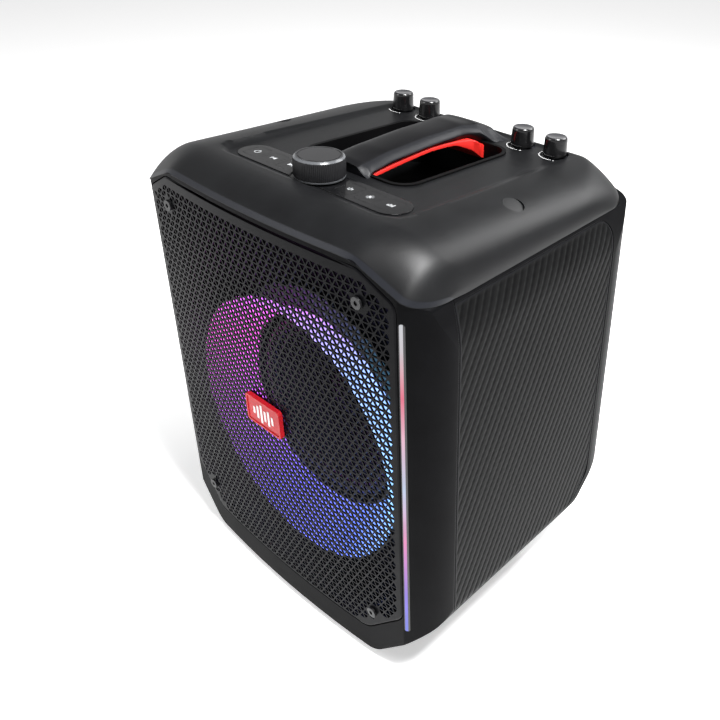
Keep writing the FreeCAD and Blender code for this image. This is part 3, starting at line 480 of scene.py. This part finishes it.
def make_top_shell():
    half = [2.0 * i for i in range(45)]
    half += [CROWN_HALF + (DECK_HALF - CROWN_HALF) * math.sin(math.pi / 2 * i / 34) for i in range(1, 35)]
    columns = [-x for x in half[:0:-1]] + half
    near = [0, 0.3, 1.0, 1.8, 2.6, 3.2, 3.6, 4.4, 5.5, 7, 9, 11, 13.5, 16, 19, 22, 25, 28, 31, 33]
    far = [REAR_BAND * (1 - math.cos(math.pi / 2 * i / 16)) for i in range(16, -1, -1)]
    middle = 110
    top, under, painted_highlight = [], [], []
    for x in columns:
        start, end = front_edge(x), rear_edge(x)
        ys = [start + d for d in near]
        first, last = start + NEAR_BAND, end - REAR_BAND
        ys += [first + (last - first) * i / middle for i in range(middle)]
        ys += [end - d for d in far]
        for y in ys:
            gone = y - start
            lip = lip_height(x)
            rear = end - y
            full = shoulder(x, y, rear)
            if gone < LIP_DEPTH:
                z = lip + min(gone, max(full - lip, 0.0))
            else:
                raised = min(lip + LIP_DEPTH, max(full, lip))
                t = min((gone - LIP_DEPTH) / 32.0, 1.0)
                z = raised + (max(full, raised) - raised) * (1 - (1 - t) ** 1.9)
                if full < raised:
                    z = full + (raised - full) * max(1 - t * 3, 0.0)
            floor = TRAY_Z - TRAY_FALL * (y - RIM_BACK)
            depth = tray_depth(x, y)
            z += (floor - z) * depth
            skin = min(SKIN, 0.2 + 0.5 * min(gone, rear, DECK_HALF - abs(x) + 0.01))
            top.append((x, FRONT + y, z))
            under.append((x, FRONT + y, z - skin))
            # Painted highlight: the bevel from 0.2 to 3 mm behind the front edge gets the lighter colour.
            painted_highlight.append(1.0 if 0.2 < gone < 3.0 else 0.0)
    rows, count = len(columns), len(near) + middle + len(far)
    total = rows * count
    faces = grid_faces(rows, count) + grid_faces(rows, count, start=total)
    rim = [i for i in range(count)] + [r * count + count - 1 for r in range(1, rows)]
    rim += [(rows - 1) * count + i for i in range(count - 2, -1, -1)] + [r * count for r in range(rows - 2, 0,
                                                                                                  -1)]
    for index, a in enumerate(rim):
        b = rim[(index + 1) % len(rim)]
        faces.append((a, b, b + total, a + total))
    shell = mesh_piece("top_shell_skin", top + under, faces, SHELL, painted_highlight=painted_highlight + [0.0] * total, angle=38,
                       ride=False)
    pocket = rounded_rectangle(POCKET_HALF, FRONT + POCKET_START, FRONT + POCKET_END, POCKET_CORNER)
    cut_with(shell, *prism(pocket, 300, 390))
    outlines = [(rounded_rectangle(*PANEL_HOLE, steps=16), THROUGH)]
    outlines += [(circle(x, SMALL_Y, RECESS_RADIUS), RECESS_FLOOR) for x in SMALL_KNOBS.values()]
    outlines += [(circle(x, SMALL_Y, SHAFT_HOLE), THROUGH) for x in SMALL_KNOBS.values()]
    for outline, low in outlines:
        points, sides = prism(outline, low, 8.0)
        cut_with(shell, [on_tray(*p) for p in points], sides)
    for sign in (-1, 1):
        lean = Vector((sign * math.sin(PLUG_LEAN), 0, math.cos(PLUG_LEAN)))
        across = Vector((lean.z, 0, -lean.x))
        base = Vector((sign * PLUG_X, FRONT + PLUG_Y, PLUG_Z)) - lean * 6.0
        points, sides = prism(circle(0, 0, PLUG_HOLE), 0, 30)
        cut_with(shell, [tuple(base + across * x + Vector((0, y, 0)) + lean * z) for x, y, z in points],
                 sides)
    shell.data.set_sharp_from_angle(angle=math.radians(38))
    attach(shell, "root")
    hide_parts("top_shell")
    wall = []
    across = [x for x in columns if shoulder(x, rear_edge(x), 0.0) - SEAM_TOP > 0.4]
    for x in across:
        end = rear_edge(x)
        crest = shoulder(x, end, 0.0)
        for y, z in ((end, crest), (end, SEAM_TOP), (end - WALL, SEAM_TOP), (end - WALL, crest - 0.3)):
            wall.append((x, FRONT + y, z))
    last = len(wall)
    sides = grid_faces(len(across), 4, wrap=True) + [(0, 1, 2, 3), (last - 1, last - 2, last - 3, last - 4)]
    mesh_piece("top_shell_rear_wall", wall, sides, SHELL, angle=38)


make_top_shell()


# ---------------------------------------------------------------- grille
def corner_outline(half, steps=7):
    """Points of a convex, mirrored outline from its right-hand corners (x, z, radius)."""
    corners = [(x, z, r) for x, z, r in half] + [(-x, z, r) for x, z, r in reversed(half)]
    outline = []
    for index, (x, z, radius) in enumerate(corners):
        here = Vector((x, z))
        back = (Vector(corners[index - 1][:2]) - here).normalized()
        ahead = (Vector(corners[(index + 1) % len(corners)][:2]) - here).normalized()
        half_angle = back.angle(ahead) / 2
        reach = radius / math.tan(half_angle)
        centre = here + (back + ahead).normalized() * radius / math.sin(half_angle)
        start, end = here + back * reach - centre, here + ahead * reach - centre
        for step in range(steps + 1):
            spot = start.lerp(end, step / steps).normalized() * radius
            outline.append(tuple(centre + spot))
    return outline


def shrink(outline, amount):
    """A convex outline moved inwards, point by point along its normals."""
    moved = []
    count = len(outline)
    for index, spot in enumerate(outline):
        before, after = Vector(outline[index - 1]), Vector(outline[(index + 1) % count])
        along = (after - before).normalized()
        moved.append(tuple(Vector(spot) + Vector((along.y, -along.x)) * amount))
    return moved


def clip_to(polygon, outline):
    """The part of a polygon inside a convex outline that runs clockwise."""
    kept = polygon
    for index, a in enumerate(outline):
        b = outline[(index + 1) % len(outline)]
        ex, ez = b[0] - a[0], b[1] - a[1]
        if math.hypot(ex, ez) < 1e-6:
            continue
        source, kept = kept, []
        for here, after in zip(source, source[1:] + source[:1]):
            side_here = (here[0] - a[0]) * ez - (here[1] - a[1]) * ex
            side_after = (after[0] - a[0]) * ez - (after[1] - a[1]) * ex
            if side_here >= 0:
                kept.append(here)
            if (side_here >= 0) != (side_after >= 0):
                t = side_here / (side_here - side_after)
                kept.append((here[0] + (after[0] - here[0]) * t, here[1] + (after[1] - here[1]) * t))
        if not kept:
            return []
    return kept


GRILLE_CORNERS = [(100, 343.5, 14), (128.5, 327.5, 9), (128.5, 63, 16), (94, 28.5, 16)]
GRILLE_PITCH = 6.4
GRILLE_SHEET = 1.1


def grille_y(x, depth):
    return FRONT - BULGE - 0.5 + bow_depth(min(abs(x), BULGE_EDGE)) + depth


def make_grille():
    outline = corner_outline(GRILLE_CORNERS)
    edge = shrink(outline, 1.4)
    field = shrink(outline, 2.4)
    rise = GRILLE_PITCH * math.sqrt(3) / 2
    points, faces = [], []

    def add(loop_points):
        start = len(points)
        for x, z in loop_points:
            points.append((x, grille_y(x, 0.0), z))
        for x, z in loop_points:
            points.append((x, grille_y(x, GRILLE_SHEET), z))
        return start, len(loop_points)

    def inside(spot, ring):
        for index, a in enumerate(ring):
            b = ring[(index + 1) % len(ring)]
            if (spot[0] - a[0]) * (b[1] - a[1]) - (spot[1] - a[1]) * (b[0] - a[0]) < 0:
                return False
        return True

    rows = int(325 / rise) + 2
    screws = [(sx * SCREW_X, MIDDLE + sz * SCREW_Z) for sx in (-1, 1) for sz in (-1, 1)]
    for row in range(rows):
        z = 20 + row * rise
        for column in range(-22, 23):
            x = column * GRILLE_PITCH + (GRILLE_PITCH / 2 if row % 2 else 0)
            up = [(x, z), (x + GRILLE_PITCH, z), (x + GRILLE_PITCH / 2, z + rise)]
            down = [(x, z), (x + GRILLE_PITCH / 2, z + rise), (x - GRILLE_PITCH / 2, z + rise)]
            for cell in (up, down):
                middle = (sum(p[0] for p in cell) / 3, sum(p[1] for p in cell) / 3)
                clear = all(math.hypot(middle[0] - sx, middle[1] - sz) > SCREW_CLEAR for sx, sz in screws)
                if all(inside(p, field) for p in cell) and clear:
                    outer, hole = [], []
                    for index in range(3):
                        a, b = cell[index], cell[(index + 1) % 3]
                        for part in range(4):
                            t = part / 4
                            outer.append((a[0] + (b[0] - a[0]) * t, a[1] + (b[1] - a[1]) * t))
                    for index in range(12):
                        ox, oz = outer[index][0] - middle[0], outer[index][1] - middle[1]
                        reach = math.hypot(ox, oz)
                        limit = 2.45 if index % 4 == 0 else reach
                        scale = min(reach * 0.74, limit) / reach
                        hole.append((middle[0] + ox * scale, middle[1] + oz * scale))
                    o, n = add(outer)
                    h, _ = add(hole)
                    for index in range(12):
                        after = (index + 1) % 12
                        faces.append((o + index, o + after, h + after, h + index))
                        faces.append((o + n + index, h + n + index, h + n + after, o + n + after))
                        faces.append((h + index, h + after, h + n + after, h + n + index))
                else:
                    piece = clip_to(cell, edge)
                    if len(piece) > 2:
                        o, n = add(piece)
                        faces.append(tuple(range(o, o + n)))
                        faces.append(tuple(range(o + 2 * n - 1, o + n - 1, -1)))
    profile = [(1.4, 0.0), (0.9, 0.12), (0.45, 0.45), (0.12, 0.9), (0.0, 1.5), (0.0, 6.0), (1.2, 6.0),
               (1.2, 1.6),
               (1.4, GRILLE_SHEET)]
    count = len(outline)
    start = len(points)
    for inset_by, depth in profile:
        for x, z in shrink(outline, inset_by):
            points.append((x, grille_y(x, depth), z))
    faces += grid_faces(len(profile), count, wrap=True, start=start)
    grille = mesh_piece("grille_mesh", points, faces, GRILLE, angle=40)
    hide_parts("grille")


make_grille()


# ---------------------------------------------------------------- side panels
def side_x(z):
    """Half width of the cabinet's side at a height."""
    if z < 63.3:
        return 129.5 + math.sqrt(20.0 ** 2 - (63.3 - z) ** 2)
    if z < 289.35:
        return HALF_WIDTH
    if z < 310.35:
        return 59.5 + math.sqrt(90.0 ** 2 - (z - 289.35) ** 2)
    return HALF_WIDTH - (z - 300.0) * 6.0 / 25.0


def make_side_panel(sign, name):
    low, high, start, end, radius = 53.0, 321.0, RIM_BACK - 1.7, 201.0, 18.0
    rows, columns = 330, 250
    points, painted_highlight = [], []
    for layer in (0, 1):
        for row in range(rows):
            z = low + (high - low) * row / (rows - 1)
            near = min(z - low, high - z)
            back = end - radius + math.sqrt(max(radius ** 2 - max(radius - (high - z), 0.0) ** 2, 0.0))
            facet = end - 29.0 + z - low
            back = -5.0 * math.log(math.exp(-back / 5.0) + math.exp(-facet / 5.0))
            for column in range(columns):
                y = start + (back - start) * column / (columns - 1)
                border = min(near, y - start, (back - y) * (0.75 if facet < end else 1.0))
                depth = 1.9
                if layer == 0:
                    across = y * math.sin(RELIEF_LEAN) - z * math.cos(RELIEF_LEAN)
                    along = y * math.cos(RELIEF_LEAN) + z * math.sin(RELIEF_LEAN)
                    phase = (across / RELIEF_PITCH) % 1.0
                    rib = smooth(phase / 0.28) if phase < 0.62 else 1 - smooth((phase - 0.62) / 0.38)
                    shift = math.floor(across / RELIEF_PITCH) * 0.5
                    weave = 0.5 + 0.5 * math.sin(2 * math.pi * (along / RELIEF_PITCH + shift))
                    depth = 0.08 + 0.34 * (1 - rib) + 0.12 * weave * rib
                    depth *= smooth((border - 1.4) / 0.8)
                    if border < 0.4:
                        depth = 0.5 * (1 - border / 0.4)
                    # Painted highlight: the smooth rim from 0.1 to 1.5 mm inside the border gets the lighter
                    # colour.
                    painted_highlight.append(1.0 if 0.1 < border < 1.5 else 0.0)
                else:
                    painted_highlight.append(0.0)
                points.append((sign * (side_x(z) - depth), FRONT + y, z))
    total = rows * columns
    faces = grid_faces(rows, columns) + grid_faces(rows, columns, start=total)
    rim = [i for i in range(columns)] + [r * columns + columns - 1 for r in range(1, rows)]
    rim += [(rows - 1) * columns + i for i in range(columns - 2, -1, -1)]
    rim += [r * columns for r in range(rows - 2, 0, -1)]
    for index, a in enumerate(rim):
        b = rim[(index + 1) % len(rim)]
        faces.append((a, b, b + total, a + total))
    panel = mesh_piece(name, points, faces, SIDE, painted_highlight=painted_highlight, angle=60)
    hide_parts(name.replace("_relief", ""))


make_side_panel(1, "side_panel_right_relief")
make_side_panel(-1, "side_panel_left_relief")


# ---------------------------------------------------------------- handle
def between(value, stops):
    """A smooth value through (place, value) stops."""
    for (a, low), (b, high) in zip(stops, stops[1:]):
        if value <= b:
            return low + (high - low) * smooth((value - a) / (b - a))
    return stops[-1][1]


def make_handle():
    crest = [(78.0, 358.6), (84, 359.6), (110, 361.2), (145, 361.6), (185, 360.6), (203, 358.4), (216, 353.0),
             (227, 345.0)]
    half_crown = [(78.0, 14.0), (110, 13.0), (185, 13.5), (205, 16.5), (227, 20.0)]
    half_base = [(78.0, 24.0), (90, 21.0), (110, 20.0), (180, 20.0), (196, 23.5), (210, 31.0), (227, 36.0)]
    below = [(78.0, 349.3), (84, 350.4), (92, 351.8), (145, 353.4), (186, 350.4), (203, 345.0), (206, 341.0),
             (227, 340.5)]
    rows = 76
    points, painted_highlight = [], []
    shape = [(0.0, 0.0), (0.3, 0.04), (0.6, 0.18), (0.85, 0.45), (1.0, 0.8)]
    for row in range(rows):
        y = HANDLE_START + (HANDLE_END - HANDLE_START) * row / (rows - 1)
        floor = TRAY_Z - TRAY_FALL * (y - RIM_BACK)
        top, crown, base, under = (between(y, s) for s in (crest, half_crown, half_base, below))
        foot = smooth((84.5 - y) / 6.5) + smooth((y - 197.0) / 14.0)
        skirt = (top - 5.6) * (1 - min(foot, 1)) + (floor - 0.15) * min(foot, 1)
        section = [(crown * u, top - 1.5 * d, 0.0) for u, d in shape]
        # Painted highlight: the flanks from the crown's edge down to the skirt get the lighter colour.
        section += [(crown + 0.5, top - 1.45, 1.0)]
        for step in range(1, 6):
            t = step / 5
            sag = 0.6 * math.sin(math.pi * t) * (1 if foot < 0.5 else -1.2)
            section.append((crown + 0.5 + (base - crown - 0.5) * t,
                            (top - 1.45) + (skirt - top + 1.45) * t + sag, 1.0))
        low = min(under, skirt - 1.2)
        section += [(base + 0.1, skirt - 0.5, 0.5), (base - 0.9, (skirt + low) / 2 - 0.2, 0.0),
                    (base - 2.6, low, 0.0)]
        full = [(-x, z, b) for x, z, b in section[:0:-1]] + section
        for x, z, b in full:
            points.append((x, FRONT + y, z))
            painted_highlight.append(b)
        count = len(full)
    faces = grid_faces(rows, count, wrap=True)
    faces.append(tuple(range(count)))
    faces.append(tuple(range((rows - 1) * count, rows * count))[::-1])
    bar = mesh_piece("handle_form", points, faces, HANDLE, painted_highlight=painted_highlight, angle=50)
    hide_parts("handle_bar")
    points = []
    rows = 60
    for row in range(rows):
        y = LINER_START + (LINER_END - LINER_START) * row / (rows - 1)
        base, under = between(y, half_base), between(y, below)
        wide = base - 0.8 + 4.4 * smooth((y - 168.0) / 24.0) - 3.0 * smooth((y - 194.0) / 10.0)
        high = min(under, between(y, crest) - 6.6) - 0.1 - 1.6 * smooth((y - 188.0) / 12.0)
        deep = 2.8 + 8.4 * smooth((y - 172.0) / 26.0)
        for x, z in ((-wide, high - 0.9), (-wide + 1.0, high), (wide - 1.0, high), (wide, high - 0.9),
                     (wide, high - deep), (wide - 2.0, high - deep - 0.8), (-wide + 2.0, high - deep - 0.8),
                     (-wide, high - deep)):
            points.append((x, FRONT + y, z))
    faces = grid_faces(rows, 8, wrap=True) + [tuple(range(8)), tuple(range(8 * rows - 8, 8 * rows))[::-1]]
    liner = mesh_piece("handle_liner_form", points, faces, RED, angle=50)
    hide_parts("handle_liner")


make_handle()


# ---------------------------------------------------------------- knobs
def turned(name, x, y, profile, node, body, material, ribs=None, steps=96):
    """A turned piece on the tray. profile runs (radius, height, painted highlight); ribs is (count, depth,
    low, high).
    """
    points, painted_highlight = [], []
    for radius, height, mark in profile:
        for step in range(steps):
            turn = 2 * math.pi * step / steps
            reach = radius
            if ribs and ribs[2] <= height <= ribs[3]:
                reach -= ribs[1] * (0.5 + 0.5 * math.cos(turn * ribs[0])) ** 1.5
            points.append(on_tray(x + reach * math.cos(turn), y + reach * math.sin(turn), height))
            painted_highlight.append(mark)
    faces = grid_faces(len(profile), steps, wrap=True)
    faces.append(tuple(range(steps))[::-1])
    faces.append(tuple(range((len(profile) - 1) * steps, len(profile) * steps)))
    piece = mesh_piece(name, points, faces, material, body=body, painted_highlight=painted_highlight, angle=30)
    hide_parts(node)


# The third value in each profile point is the painted highlight: 1 on the top chamfer, 0.6 on the ring near
# the foot.
turned("main_knob_form", 0, PANEL_Y, [
    (14.5, 1.3, 0), (17.3, 1.3, 0), (18.1, 1.5, 0.6), (18.1, 2.3, 0.6), (17.5, 2.6, 0), (18.15, 3.1, 0),
    (18.1, 14.4, 0),
    (17.75, 15.0, 0), (17.75, 15.3, 1), (16.6, 16.5, 1), (16.3, 16.7, 0.3), (15.3, 16.7, 0), (15.1, 16.3, 0),
    (14.5, 16.3, 0), (14.3, 16.7, 0), (3.0, 16.7, 0), (0.2, 16.7, 0),
], "main_knob", "main_knob", KNOB, ribs=(88, 0.42, 3.0, 14.5), steps=704)

for label, x in SMALL_KNOBS.items():
    # The third value in each profile point is the painted highlight: 1 across the top face, 0.4 at its
    # shoulder.
    turned(label + "_knob_form", x, SMALL_Y, [
        (7.0, 0.5, 0), (8.9, 0.5, 0), (9.1, 0.9, 0), (9.0, 4.0, 0), (8.6, 12.6, 0), (8.5, 13.6, 0),
        (8.2, 14.5, 0),
        (7.7, 15.1, 0.4), (7.1, 15.35, 1), (6.6, 15.2, 1), (4.5, 14.9, 1), (2.0, 14.75, 1), (0.2, 14.7, 1),
    ], label + "_knob", label + "_knob", SMALL, steps=72)


# ---------------------------------------------------------------- printed marks
def flat_mark(name, outlines, x, y, z, material, body="root", thick=0.07):
    """Printed shapes lying on the tray at height z. outlines are lists of (x, y) round (x, y)."""
    points, faces = [], []
    for outline in outlines:
        start = len(points)
        shape, sides = prism([(x + a, y + b) for a, b in outline], z, z + thick)
        points += [on_tray(*p) for p in shape]
        faces += [tuple(start + i for i in side) for side in sides]
    mesh_piece(name, points, faces, material, body=body)


def arc_strips(radius, width, start, end, steps=24):
    """Short quads along an arc, in degrees."""
    strips = []
    for step in range(steps):
        a, b = (math.radians(start + (end - start) * (step + k) / steps) for k in (0, 1))
        strips.append([(radius * math.cos(a), radius * math.sin(a)),
                       (radius * math.cos(b), radius * math.sin(b)),
                       ((radius - width) * math.cos(b), (radius - width) * math.sin(b)),
                       ((radius - width) * math.cos(a), (radius - width) * math.sin(a))])
    return strips


def bar(cx, cy, half_x, half_y):
    return [(cx - half_x, cy - half_y), (cx + half_x, cy - half_y), (cx + half_x, cy + half_y),
            (cx - half_x, cy + half_y)]


MARKS = {
    "power": arc_strips(2.6, 0.5, 120, 420) + [bar(0, 2.0, 0.28, 1.3)],
    "previous": [bar(-2.4, 0, 0.32, 1.8), [(-1.9, 0), (2.2, -1.9), (2.2, 1.9)]],
    "next": [bar(2.4, 0, 0.32, 1.8), [(1.9, 0), (-2.2, 1.9), (-2.2, -1.9)]],
    "function": [bar(-1.8, 0, 0.3, 1.2), bar(0, 0, 0.3, 2.2), bar(1.8, 0, 0.3, 1.2)],
    "light": [circle(0, 0, 1.1, 20)] + [
        [(math.cos(a) * 1.8 - math.sin(a) * 0.2, math.sin(a) * 1.8 + math.cos(a) * 0.2),
         (math.cos(a) * 1.8 + math.sin(a) * 0.2, math.sin(a) * 1.8 - math.cos(a) * 0.2),
         (math.cos(a) * 2.8 + math.sin(a) * 0.2, math.sin(a) * 2.8 - math.cos(a) * 0.2),
         (math.cos(a) * 2.8 - math.sin(a) * 0.2, math.sin(a) * 2.8 + math.cos(a) * 0.2)]
        for a in (k * math.pi / 4 for k in range(8))],
    "mode": [bar(-2.2, -0.6, 0.35, 1.2), bar(-0.75, 0, 0.35, 1.8), bar(0.75, -0.4, 0.35, 1.4),
             bar(2.2, 0.2, 0.35, 2.0)],
}
for label, x in KEYS.items():
    flat_mark("mark_" + label, MARKS[label], x, PANEL_Y, PANEL_TOP, GREY_PRINT, "key_" + label)
for label, x in SMALL_KNOBS.items():
    ticks = arc_strips(12.1, 0.5, 150,
                       290) + [circle(12.6 * math.cos(math.radians(a)), 12.6 * math.sin(math.radians(a)),
                                      0.55, 12)
                                               for a in (140, 300)]
    flat_mark("scale_" + label, ticks, x, SMALL_Y, 0.0, WHITE, "root")


def make_badge_mark():
    y = FRONT - BULGE - 0.5 - 0.4 - 3.6 + 0.6
    points, faces = [], []
    for index, height in enumerate((3.0, 5.5, 8.0, 4.5, 6.5, 3.5)):
        x = -10.5 + index * 4.2
        start = len(points)
        shape, sides = prism([(x - 1.1, -height), (x + 1.1, -height), (x + 1.1, height), (x - 1.1, height)],
                             0, 0.25)
        points += [(a, y - c, MIDDLE + b) for a, b, c in shape]
        faces += [tuple(start + i for i in side) for side in sides]
    mesh_piece("badge_mark", points, faces, WHITE)


make_badge_mark()


# ---------------------------------------------------------------- woofer's soft parts
def surround_sector(index, sectors, profile, steps=8):
    """One sector of the surround: its rolled section swept round the woofer's middle through one sector's
    angle.
    """
    points = []
    for step in range(steps + 1):
        turn = 2 * math.pi * (index + step / steps) / sectors
        for radius, depth in profile:
            points.append((radius * math.cos(turn), FRONT + depth, WOOFER_Z + radius * math.sin(turn)))
    count = len(profile)
    faces = grid_faces(steps + 1, count, wrap=True)
    faces.append(tuple(range(count)))
    faces.append(tuple(range(steps * count, (steps + 1) * count))[::-1])
    piece = mesh_piece("surround_roll_" + str(index + 1), points, faces, RUBBER, ride=False, angle=60)
    turn = 2 * math.pi * (index + 0.5) / sectors
    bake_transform(piece)
    return piece


arch = [(67.0 + 12.2 * (1 - math.cos(math.pi * k / 14)) / 2, 52.0 - 5.4 * math.sin(math.pi * k / 14))
        for k in range(15)]
section = [(64.2, 52.0)] + arch + [(81.2, 52.0), (81.2, 52.8)]
section += [(radius, depth + 0.8) for radius, depth in reversed(arch)] + [(64.2, 52.8)]
for sector in range(ROLL_SECTORS):
    roll_piece = surround_sector(sector, ROLL_SECTORS, section)
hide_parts("woofer_surround")


# ---------------------------------------------------------------- stage, lights and camera
floor_mesh = bpy.data.meshes.new("floor")
floor_mesh.from_pydata([(-4, -4, 0), (4, -4, 0), (4, 4, 0), (-4, 4, 0)], [], [(0, 1, 2, 3)])
floor = bpy.data.objects.new("floor", floor_mesh)
bpy.context.scene.collection.objects.link(floor)
floor_material, floor_nodes, floor_links = new_material("floor_pale")
floor_shader = floor_nodes["Principled BSDF"]
floor_shader.inputs["Roughness"].default_value = 0.9
floor_shader.inputs["Specular IOR Level"].default_value = 0.1
floor_noise = floor_nodes.new("ShaderNodeTexNoise")
floor_noise.inputs["Scale"].default_value = 6.0
floor_ramp = floor_nodes.new("ShaderNodeValToRGB")
floor_ramp.color_ramp.elements[0].color = (0.90, 0.90, 0.90, 1)
floor_ramp.color_ramp.elements[1].color = (0.93, 0.93, 0.93, 1)
floor_links.new(floor_noise.outputs["Fac"], floor_ramp.inputs["Fac"])
floor_links.new(floor_ramp.outputs["Color"], floor_shader.inputs["Base Color"])
floor_links.new(floor_ramp.outputs["Color"], floor_shader.inputs["Emission Color"])
floor_shader.inputs["Emission Strength"].default_value = 0.52
floor_mesh.materials.append(floor_material)

world = bpy.data.worlds.new("studio")
bpy.context.scene.world = world
world.use_nodes = True
world.node_tree.nodes["Background"].inputs["Color"].default_value = (1, 1, 1, 1)
sky = world.node_tree.nodes
sky_coord = sky.new("ShaderNodeTexCoord")
sky_split = sky.new("ShaderNodeSeparateXYZ")
sky_fade = sky.new("ShaderNodeMapRange")
sky_fade.inputs["From Min"].default_value = 0.12
sky_fade.inputs["From Max"].default_value = 0.4
sky_fade.inputs["To Min"].default_value = 1.0
sky_fade.inputs["To Max"].default_value = 0.22
world.node_tree.links.new(sky_coord.outputs["Generated"], sky_split.inputs["Vector"])
world.node_tree.links.new(sky_split.outputs["Z"], sky_fade.inputs["Value"])
world.node_tree.links.new(sky_fade.outputs["Result"], sky["Background"].inputs["Strength"])


def softbox(name, place, aim, width, height, power):
    light = bpy.data.lights.new(name, "AREA")
    light.shape = "RECTANGLE"
    light.size, light.size_y, light.energy = width, height, power
    lamp = bpy.data.objects.new(name, light)
    bpy.context.scene.collection.objects.link(lamp)
    lamp.location = place
    lamp.rotation_euler = (Vector(aim) - Vector(place)).to_track_quat("-Z", "Y").to_euler()


softbox("key", (0.52, -0.05, 1.35), (0.1, -0.05, 0.33), 0.4, 0.4, 44.0)
softbox("back", (0.32, 0.9, 1.02), (0.1, 0.0, 0.33), 0.6, 0.5, 9.0)
softbox("fill", (-0.9, -1.1, 1.1), (0.0, 0.0, 0.2), 0.7, 0.7, 7.0)

camera = bpy.data.cameras.new("camera")
camera.sensor_width = 36.0
camera.lens = 42.408
camera.shift_x = -0.09997
camera.shift_y = -0.11111
camera.clip_start = 0.02
eye = bpy.data.objects.new("camera", camera)
bpy.context.scene.collection.objects.link(eye)
eye.location = (0.42214, -0.40166, 0.57977)
eye.rotation_euler = (1.0519, -0.0016, 0.7462)
bpy.context.scene.camera = eye
bpy.context.scene.view_settings.view_transform = "Standard"
